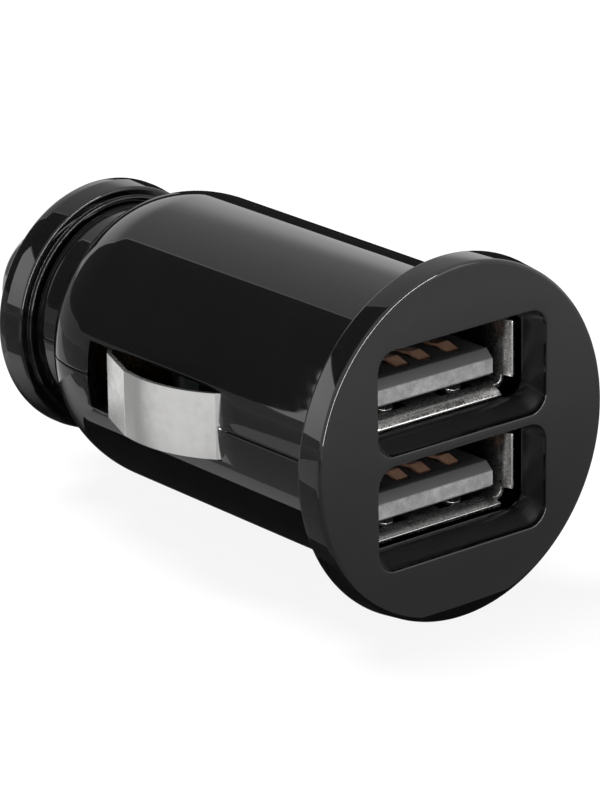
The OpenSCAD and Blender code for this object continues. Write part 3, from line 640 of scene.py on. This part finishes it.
def leafLine():
    d = leaf
    x, y, (lipX, lipRise) = d["footX"], d["riserY"], d["lip"]
    line = filletLine([(x, d["footY"]), (x, y - d["bend"]), (x + d["bend"], y), (d["ledgeX"], y + 0.02),
                       (lipX, y + lipRise)], d["footRounds"], 12)
    for k in range(41):
        a = math.radians(d["from"] + (d["to"] - d["from"]) * k / 40)
        along, out = d["archRadius"] * math.sin(a), d["archRadius"] * math.cos(a)
        line.append(Vector((d["archX"] + out, d["archY"] + along)))
    crease = line[-1].copy()  # the strip runs on from here in short straight parts
    tail = filletLine([crease + Vector(turn) for turn in d["tail"]], d["tailRounds"], 10)
    return line + tail[1:]


def makeLeaf(side, name, body, node):
    line = leafLine()
    normals = [-n for n in lineNormals(line)]
    bm = bmesh.new()
    sweepStrip(bm, line, normals, leaf["width"] / 2, leaf["thick"], lambda q, z: (side * q.x, q.y, z), 6)
    makePiece(name, bm, body, materials["satinNickel"], (node,), bevel=leaf["edge"],
              smoothAngle=50, sharpAngle=4)


makeLeaf(-1, "groundLeafLeft", "ground_left", "ground_spring_left")
makeLeaf(1, "groundLeafRight", "ground_right", "ground_spring_right")
print("ground springs made")


# receptacle shells: a folded tube, four flared lips and four retaining fingers

port = {"width": 12.5, "height": 5.12, "sheet": 0.3, "corner": 0.7, "lipY": 0.4, "tubeY": 1.2, "backY": 14.4,
        "flare": {"upper": 0.42, "lower": 0.18, "side": 0.28}, "flareCurve": 1.6, "sideLipHalf": 2.0,
        "centres": {"upper": 4.445, "lower": -3.625}, "fingerPitch": 6.0, "fingerWidth": 2.2,
        "fingerTip": 0.75, "fingerGap": 0.25, "fingerFront": 1.9, "fingerRoot": 8.2, "dip": 0.3,
        "legHalf": 0.8, "legEnd": 16.0, "edge": 0.04}


def flaredLip(flare):
    start = port["tubeY"]
    lip = [Vector((start + 0.25, 0)), Vector((start, 0))]
    for k in range(1, 9):
        s = k / 8
        lip.append(Vector((start + (port["lipY"] - start) * s, flare * s ** port["flareCurve"])))
    return lip


def fingerLine():
    root, nib = port["fingerRoot"] - 0.8, port["fingerFront"] + 0.15
    wide, narrow = port["fingerWidth"] / 2, port["fingerTip"]
    finger, halves = [Vector((port["fingerRoot"] + 0.02, 0)), Vector((root, 0))], [wide, wide]
    dipAt, roundAt = 0.8, 0.86  # shares of the finger's length
    for k in range(1, 25):
        s = k / 24 if k < 13 else 1 - 0.5 * (1 - (k - 12) / 12) ** 1.6  # closer rows towards the round end
        if s < dipAt:
            rise = math.sin(s / dipAt * math.pi / 2) ** 2
        else:
            rise = math.cos((s - dipAt) / 0.2 * 1.35)
        finger.append(Vector((root + (nib - root) * s, -port["dip"] * rise)))
        half = wide + (narrow - wide) * min(1, s / dipAt)
        halves.append(half if s < roundAt else half * max(0.12, 1 - ((s - roundAt) / 0.14) ** 2.4) ** 0.5)
    return finger, halves


def makeReceptacle(which):
    p = port
    centre = p["centres"][which]
    halfW, halfH, sheet = p["width"] / 2, p["height"] / 2, p["sheet"]
    bm = bmesh.new()
    outer = roundedLoop(p["width"] + 2 * sheet, p["height"] + 2 * sheet, p["corner"], centre, 8, 24)
    inner = roundedLoop(p["width"], p["height"], p["corner"] - sheet, centre, 8, 24)
    count = len(outer)
    stations = [p["tubeY"], p["fingerFront"], 3.5, 5.0, 6.6, p["fingerRoot"], 10, 12, p["backY"]]
    gap = p["fingerWidth"] / 2 + p["fingerGap"]
    rowsOut = [addRing(bm, [(x, y, z) for x, z in outer]) for y in stations]
    rowsIn = [addRing(bm, [(x, y, z) for x, z in inner]) for y in stations]
    for rows, flip in ((rowsOut, False), (rowsIn, True)):
        for k in range(len(stations) - 1):
            cut = p["fingerFront"] <= stations[k] < p["fingerRoot"]
            for i in range(count):
                j = (i + 1) % count
                x = (outer[i][0] + outer[j][0]) / 2
                flat = abs(abs((outer[i][1] + outer[j][1]) / 2 - centre) - halfH - sheet) < 0.02
                if cut and flat and abs(abs(x) - p["fingerPitch"] / 2) < gap:
                    continue
                face = (rows[k][i], rows[k][j], rows[k + 1][j], rows[k + 1][i])
                bm.faces.new(face[::-1] if flip else face)
    bridge(bm, rowsOut[0], rowsIn[0])
    bridge(bm, rowsOut[-1], rowsIn[-1])
    level, upright = flaredLip(p["flare"][which]), flaredLip(p["flare"]["side"])
    for sign in (1, -1):
        base = sign * (halfH + sheet / 2)
        sweepStrip(bm, level, lineNormals(level), halfW - p["corner"], sheet,
                   lambda q, s, b=base, g=sign: (s, q.x, centre + b + g * q.y), 24)
        side = sign * (halfW + sheet / 2)
        sweepStrip(bm, upright, lineNormals(upright), p["sideLipHalf"], sheet,
                   lambda q, s, b=side, g=sign: (b + g * q.y, q.x, centre + s), 10)
    finger, halves = fingerLine()
    for sign in (1, -1):
        for x in (-p["fingerPitch"] / 2, p["fingerPitch"] / 2):
            base = sign * (halfH + sheet / 2)
            sweepStrip(bm, finger, lineNormals(finger), halves, sheet,
                       lambda q, s, b=base, g=sign, c=x: (c + s, q.x, centre + b + g * q.y), 6)
    leg = p["legHalf"]
    for sign in (1, -1):
        x0, x1 = sorted((sign * halfW, sign * (halfW + sheet)))
        corners = [(x, y, centre + z) for y in (p["backY"], p["legEnd"])
                   for x, z in ((x0, -leg), (x1, -leg), (x1, leg), (x0, leg))]
        v = [bm.verts.new(c) for c in corners]
        for face in ((0, 1, 2, 3), (4, 7, 6, 5), (0, 4, 5, 1), (1, 5, 6, 2), (2, 6, 7, 3), (3, 7, 4, 0)):
            bm.faces.new([v[i] for i in face])
    makePiece("receptacle" + which.capitalize(), bm, "housing", materials["tinPlate"],
              ("usb_shell_" + which,), bevel=p["edge"], smoothAngle=50)


for which in ("upper", "lower"):
    makeReceptacle(which)
print("receptacles made")


# tongues: the insulator's rear block and the tongue with its contact grooves

tongue = {"halfWidth": 5.55, "frontY": 1.2, "blockY": 10.2, "backY": 14.4, "top": -0.06, "low": -1.9,
          "groove": 0.25, "chamfer": 0.6, "contactX": (-3.5, -1.0, 1.0, 3.5), "contactHalf": 0.6,
          "grooveFrom": 2.7, "edge": 0.06, "lowChamfer": (0.3, 0.25), "block": (12.3, 4.92, 0.4)}


def makeTongue(which):
    t = tongue
    centre = port["centres"][which]
    xs = [-t["halfWidth"]]
    for x in t["contactX"]:
        xs += [x - t["contactHalf"], x + t["contactHalf"]]
    xs.append(t["halfWidth"])
    inGroove = [i % 2 == 1 for i in range(len(xs) - 1)]
    ys = [t["frontY"] + t["chamfer"] + 0.05, t["grooveFrom"], t["backY"]]
    bm = bmesh.new()
    cache = {}

    def vertex(x, y, z):
        key = (round(x, 4), round(y, 4), round(z, 4))
        if key not in cache:
            cache[key] = bm.verts.new((x, y, z + centre))
        return cache[key]

    def quad(*points):
        corners = [vertex(*p) for p in points]
        if len(set(corners)) == len(corners):
            bm.faces.new(corners)

    top, low, frontY = t["top"], t["low"], t["frontY"]
    high, foot, under = top - t["chamfer"], low + t["lowChamfer"][1], frontY + t["lowChamfer"][0]
    for i in range(len(xs) - 1):
        a, b = xs[i], xs[i + 1]
        quad((a, frontY, foot), (b, frontY, foot), (b, frontY, high), (a, frontY, high))
        quad((a, frontY, high), (b, frontY, high), (b, ys[0], top), (a, ys[0], top))
        quad((a, ys[0], top), (b, ys[0], top), (b, ys[1], top), (a, ys[1], top))
        z = top - t["groove"] if inGroove[i] else top
        quad((a, ys[1], z), (b, ys[1], z), (b, ys[2], z), (a, ys[2], z))
        if inGroove[i]:
            quad((a, ys[1], top), (b, ys[1], top), (b, ys[1], z), (a, ys[1], z))
            quad((a, ys[1], top), (a, ys[1], z), (a, ys[2], z), (a, ys[2], top))
            quad((b, ys[1], top), (b, ys[2], top), (b, ys[2], z), (b, ys[1], z))
        quad((a, frontY, foot), (a, under, low), (b, under, low), (b, frontY, foot))
        quad((a, under, low), (a, ys[2], low), (b, ys[2], low), (b, under, low))
    for x in (xs[0], xs[-1]):
        outline = [(frontY, foot), (frontY, high), (ys[0], top), (ys[1], top), (ys[2], top), (ys[2], low),
                   (under, low)]
        bm.faces.new([vertex(x, y, z) for y, z in outline])
    loop = roundedLoop(*t["block"], centre, 6, 2)
    closeRows(bm, [addRing(bm, [(x, y, z) for x, z in loop]) for y in (t["blockY"], t["backY"])])
    makePiece("tongue" + which.capitalize(), bm, "housing", materials["tongueBlack"],
              ("usb_housing_" + which,), bevel=t["edge"], smoothAngle=25)


for which in ("upper", "lower"):
    makeTongue(which)
print("tongues made")


# studio: a pale floor, soft lamps and cards that the gloss mirrors

studio = {"floorZ": -12.7, "floorGlow": 0.9, "worldLight": 0.22}


def pathMask(tree, names):
    path = tree.nodes.new("ShaderNodeLightPath")
    total = path.outputs[names[0]]
    for name in names[1:]:
        total = mathNode(tree, "MAXIMUM", total, path.outputs[name])
    return total


def emptyTree(owner):
    owner.use_nodes = True
    owner.node_tree.nodes.clear()
    return owner.node_tree


def stageMesh(name, bm, material):
    mesh = bpy.data.meshes.new(name)
    bm.to_mesh(mesh)
    bm.free()
    mesh.materials.append(material)
    thing = bpy.data.objects.new(name, mesh)
    bpy.context.scene.collection.objects.link(thing)
    return thing


def makeFloor():
    material = bpy.data.materials.new("paleFloor")
    tree = emptyTree(material)
    out = addNode(tree, "ShaderNodeOutputMaterial")
    matt = addNode(tree, "ShaderNodeBsdfDiffuse")
    matt.inputs["Color"].default_value = (0.93, 0.93, 0.93, 1)
    glow = addNode(tree, "ShaderNodeEmission")
    seen = pathMask(tree, ["Is Camera Ray", "Is Glossy Ray", "Is Transmission Ray"])
    share = mathNode(tree, "MULTIPLY", seen, studio["floorGlow"])
    mix = addNode(tree, "ShaderNodeMixShader", [(0, share), (1, matt.outputs[0]), (2, glow.outputs[0])])
    tree.links.new(mix.outputs[0], out.inputs["Surface"])
    bm = bmesh.new()
    bmesh.ops.create_grid(bm, x_segments=2, y_segments=2, size=4)
    floor = stageMesh("paleFloor", bm, material)
    floor.location.z = studio["floorZ"] * mm


def makeCard(name, card):
    material = bpy.data.materials.new(name)
    tree = emptyTree(material)
    out = addNode(tree, "ShaderNodeOutputMaterial")
    glow = addNode(tree, "ShaderNodeEmission")
    low, high = card["glow"]
    glow.inputs["Strength"].default_value = low
    if low != high:
        start, stop = card["between"]
        ramp = addNode(tree, "ShaderNodeMapRange", [(0, objectAxes(tree)["XYZ".index(card["along"])])],
                       interpolation_type="SMOOTHSTEP", in_1=start * mm, in_2=stop * mm, in_3=low, in_4=high)
        tree.links.new(ramp.outputs[0], glow.inputs["Strength"])
    tree.links.new(glow.outputs[0], out.inputs["Surface"])
    bm = bmesh.new()
    bm.faces.new([bm.verts.new([c * mm for c in p]) for p in card["corners"]])
    bmesh.ops.triangulate(bm, faces=bm.faces)
    sheet = stageMesh(name, bm, material)
    sheet.visible_camera = sheet.visible_diffuse = sheet.visible_shadow = False
    sheet.visible_volume_scatter = sheet.visible_transmission = False


def upright(y, outline):
    return [(-u, y, z) for u, z in outline]


def lying(z, x0, x1, y0, y1):
    return [(x0, y0, z), (x1, y0, z), (x1, y1, z), (x0, y1, z)]


flagOutline = [(119.5, 12), (118, 7), (114.5, 4.2), (109, 3.1), (93, 3), (74, 9.5), (50, 9), (28, 8),
               (17, 10.5), (10, 17), (6, 27), (6, 40), (9, 52), (14, 66), (15, 90), (14, 240), (160, 240),
               (160, 97.5), (82, 97.5), (77.5, 95.5), (92.4, 79.4), (104.7, 62.5), (113.8, 44), (119.5, 24)]
cards = {
    "flagBehind": {"corners": upright(120, flagOutline), "glow": (0.085, 0.085)},
    "softLeft": {"corners": upright(121.5, [(20, 14), (119.6, 14), (119.6, 2.6),
                                            (330, 2.6), (330, 97), (20, 97)]),
                 "glow": (2.0, 2.5), "along": "Z", "between": (0, 60)},
    "floorFar": {"corners": upright(123, [(-70, -14), (400, -14), (400, 14), (-70, 14)]),
                 "glow": (0.36, 0.36)},
    "floorLeft": {"corners": lying(-12.66, -400, -15.2, -60, 122), "glow": (0.28, 0.45), "along": "X",
                  "between": (-60, -150)},
    "floorGlint": {"corners": lying(-12.64, -105, -35, -14, 50), "glow": (0.76, 0.76)},
    "floorStrip": {"corners": lying(-12.66, -15.2, -12.1, 9.5, 122), "glow": (0.65, 0.65)},
    "floorEdge": {"corners": lying(-12.66, -15.2, -12.1, -60, 9.5), "glow": (0.05, 0.05)},
    "floorNose": {"corners": lying(-12.64, -22, 45, 38.5, 54), "glow": (1.0, 0.02), "along": "X",
                  "between": (-19, -5)},
    "floorNoseFar": {"corners": lying(-12.64, -26, 45, 54, 122), "glow": (0.66, 1.3), "along": "X",
                     "between": (-16, 0)},
    # painted shadow: a near-black card under the object, seen only in reflections
    "floorUnderShadow": {"corners": lying(-12.66, -12.1, 400, -4, 400), "glow": (0.012, 0.012)},
    # painted shade: darker close to the object's front and lighter further out, seen only in reflections
    "floorFrontShade": {"corners": lying(-12.66, -60, 400, -400, -4), "glow": (0.42, 0.82), "along": "Y",
                   "between": (-6, -56)},
    "softAbove": {"corners": [(70, -190, 230), (190, -60, 260), (260, -150, 190), (150, -240, 150)],
                  "glow": (2.4, 2.4)},
    "softBack": {"corners": upright(160, [(15, 38), (-240, 38), (-240, 320), (15, 320)]),
                 "glow": (1.15, 0.63), "along": "Z", "between": (72, 112)},
    "flagRight": {"corners": upright(161, [(-10, -14), (-400, -14), (-400, 38), (-10, 38)]),
                  "glow": (0.02, 0.02)},
}
ribbon = {"path": ((-0.74, -0.57, -0.36), (-0.74, -0.67, -0.05), (-0.6, -0.73, 0.34), (-0.34, -0.7, 0.62),
                   (0, -0.6, 0.8), (0.4, -0.43, 0.81)), "distance": 320, "half": 11, "glow": 40.0}
lamps = {
    "overhead": {"at": (-40, 160, 420), "size": 300, "power": 4.2},
    "fillFront": {"at": (-60, -330, -2), "size": 20, "power": 1.15},
}
lampTarget = Vector((0, 15, 0)) * mm


def makeRibbon():
    # a narrow band of light round the camera's side, seen only in rounded edges
    path = [Vector(p).normalized() * ribbon["distance"] for p in ribbon["path"]]
    edges = []
    for j in range(len(path)):
        along = path[min(j + 1, len(path) - 1)] - path[max(j - 1, 0)]
        across = along.cross(path[j]).normalized() * ribbon["half"]
        edges.append((path[j] - across, path[j] + across))
    for i, (near, far) in enumerate(zip(edges, edges[1:])):
        corners = [tuple(p) for p in (near[0], near[1], far[1], far[0])]
        makeCard("ribbon%d" % i, {"corners": corners, "glow": (ribbon["glow"], ribbon["glow"])})


def makeLamp(name, lamp):
    light = bpy.data.lights.new(name, "AREA")
    light.shape = "DISK"
    light.size = lamp["size"] * mm
    light.energy = lamp["power"]
    holder = bpy.data.objects.new(name, light)
    holder.visible_glossy = False
    holder.location = [c * mm for c in lamp["at"]]
    holder.rotation_mode = "QUATERNION"
    holder.rotation_quaternion = (lampTarget - holder.location).to_track_quat("-Z", "Y")
    bpy.context.scene.collection.objects.link(holder)


def makeWorld():
    world = bpy.data.worlds.new("studioAir")
    bpy.context.scene.world = world
    tree = emptyTree(world)
    out = addNode(tree, "ShaderNodeOutputWorld")
    soft = addNode(tree, "ShaderNodeBackground")
    soft.inputs["Strength"].default_value = studio["worldLight"]
    white = addNode(tree, "ShaderNodeBackground")
    white.inputs["Color"].default_value = (1, 1, 1, 1)
    soft.inputs["Color"].default_value = (1, 1, 1, 1)
    seen = pathMask(tree, ["Is Camera Ray", "Is Glossy Ray", "Is Transmission Ray"])
    mix = addNode(tree, "ShaderNodeMixShader", [(0, seen), (1, soft.outputs[0]), (2, white.outputs[0])])
    tree.links.new(mix.outputs[0], out.inputs["Surface"])


makeFloor()
for cardName, card in cards.items():
    makeCard(cardName, card)
makeRibbon()
for lampName, lamp in lamps.items():
    makeLamp(lampName, lamp)
makeWorld()
print("studio made")


# camera at the photograph's own place

view = {"azimuth": -39.321, "elevation": 19.65, "roll": -0.787, "at": (-205.947, -236.473, 114.498),
        "lens": 225.4, "sensor": 36}


def makeCamera():
    a, e, roll = (math.radians(view[k]) for k in ("azimuth", "elevation", "roll"))
    back = Vector((math.sin(a) * math.cos(e), -math.cos(a) * math.cos(e), math.sin(e)))
    right = Vector((math.cos(a), math.sin(a), 0))
    up = back.cross(right)
    turnedRight = math.cos(roll) * right + math.sin(roll) * up
    turnedUp = -math.sin(roll) * right + math.cos(roll) * up
    lens = bpy.data.cameras.new("photoCamera")
    lens.lens = view["lens"]
    lens.sensor_width = view["sensor"]
    lens.clip_start, lens.clip_end = 0.01, 20
    camera = bpy.data.objects.new("photoCamera", lens)
    bpy.context.scene.collection.objects.link(camera)
    camera.matrix_world = Matrix((
        (turnedRight.x, turnedUp.x, back.x, view["at"][0] * mm),
        (turnedRight.y, turnedUp.y, back.y, view["at"][1] * mm),
        (turnedRight.z, turnedUp.z, back.z, view["at"][2] * mm),
        (0, 0, 0, 1)))
    bpy.context.scene.camera = camera


makeCamera()
bpy.context.scene.view_settings.view_transform = "Standard"
